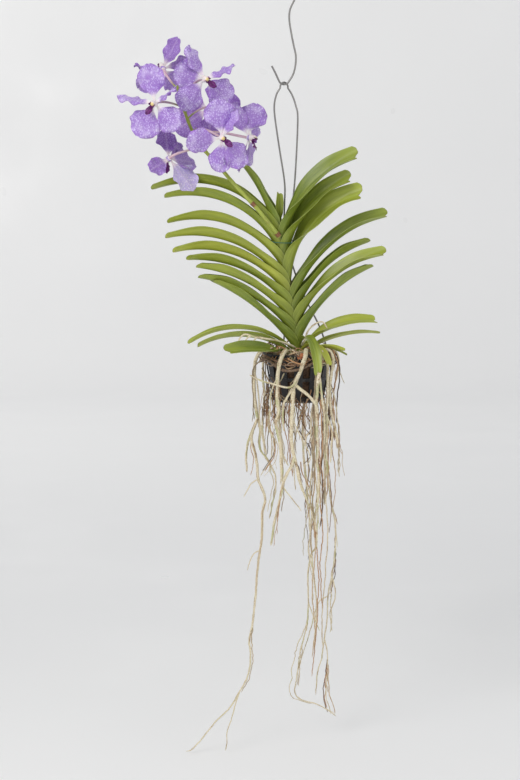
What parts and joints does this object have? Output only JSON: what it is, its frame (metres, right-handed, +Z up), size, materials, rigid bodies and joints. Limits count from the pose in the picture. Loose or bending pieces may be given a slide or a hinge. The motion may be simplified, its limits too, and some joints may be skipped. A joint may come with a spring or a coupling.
{
  "type": "vanda orchid in a hanging basket",
  "caption": "Vanda orchid in flower in a small slatted basket that hangs by a wire hanger from a bent wire hook, with long free aerial roots.",
  "frame": {"origin": "inside of the top hook, where the wire rests on the bar that it hangs from", "axes": "+Z up, +X to the right and +Y away from someone who looks at the front of the plant"},
  "size_m": [0.3726, 0.1655, 1.0758],
  "materials": {
    "wire": "dull grey galvanised wire",
    "tie": "thin dark teal plastic tie",
    "basket": "moulded black plastic",
    "bark": "damp rough bark chips",
    "stem": "greenish brown woody stem with leaf scars",
    "leaf": "waxy yellow-green strap leaf with fine lines and a pale keel",
    "spike": "smooth yellow-green flower stalk",
    "petal": "soft lilac petal with a paler net pattern",
    "lip": "dark violet waxy lip with a pale column",
    "root": "chalky cream root with grey-violet and green patches"
  },
  "bodies": {
    "root": {"hook_wire": "wire", "hanger_wire": "wire", "plant_tie": "tie", "basket": "basket", "bark_chips": "bark", "stem": "stem", "leaf_left_01": "leaf", "leaf_left_02": "leaf", "leaf_left_03": "leaf", "leaf_left_04": "leaf", "leaf_left_05": "leaf", "leaf_left_06": "leaf", "leaf_left_07": "leaf", "leaf_left_08": "leaf", "leaf_left_09": "leaf", "leaf_left_10": "leaf", "leaf_right_01": "leaf", "leaf_right_02": "leaf", "leaf_right_03": "leaf", "leaf_right_04": "leaf", "leaf_right_05": "leaf", "leaf_right_06": "leaf", "leaf_right_07": "leaf", "leaf_heart": "leaf", "leaf_foot_left_1": "leaf", "leaf_foot_left_2": "leaf", "leaf_foot_left_3": "leaf", "leaf_foot_right_1": "leaf", "leaf_foot_right_2": "leaf", "leaf_foot_right_3": "leaf", "leaf_foot_right_4": "leaf", "leaf_foot_front_1": "leaf", "leaf_foot_front_2": "leaf", "flower_spike": "spike", "bloom_1_petals": "petal", "bloom_1_lip": "lip", "bloom_2_petals": "petal", "bloom_2_lip": "lip", "bloom_3_petals": "petal", "bloom_3_lip": "lip", "bloom_4_petals": "petal", "bloom_4_lip": "lip", "bloom_5_petals": "petal", "bloom_5_lip": "lip", "bloom_6_petals": "petal", "bloom_6_lip": "lip", "bloom_7_petals": "petal", "bloom_7_lip": "lip", "roots_left": "root", "roots_front_left": "root", "roots_front": "root", "roots_right": "root", "roots_far_right": "root", "roots_back": "root", "roots_back_left": "root", "root_stem_left": "root", "root_stem_right": "root"}
  },
  "joints": []
}
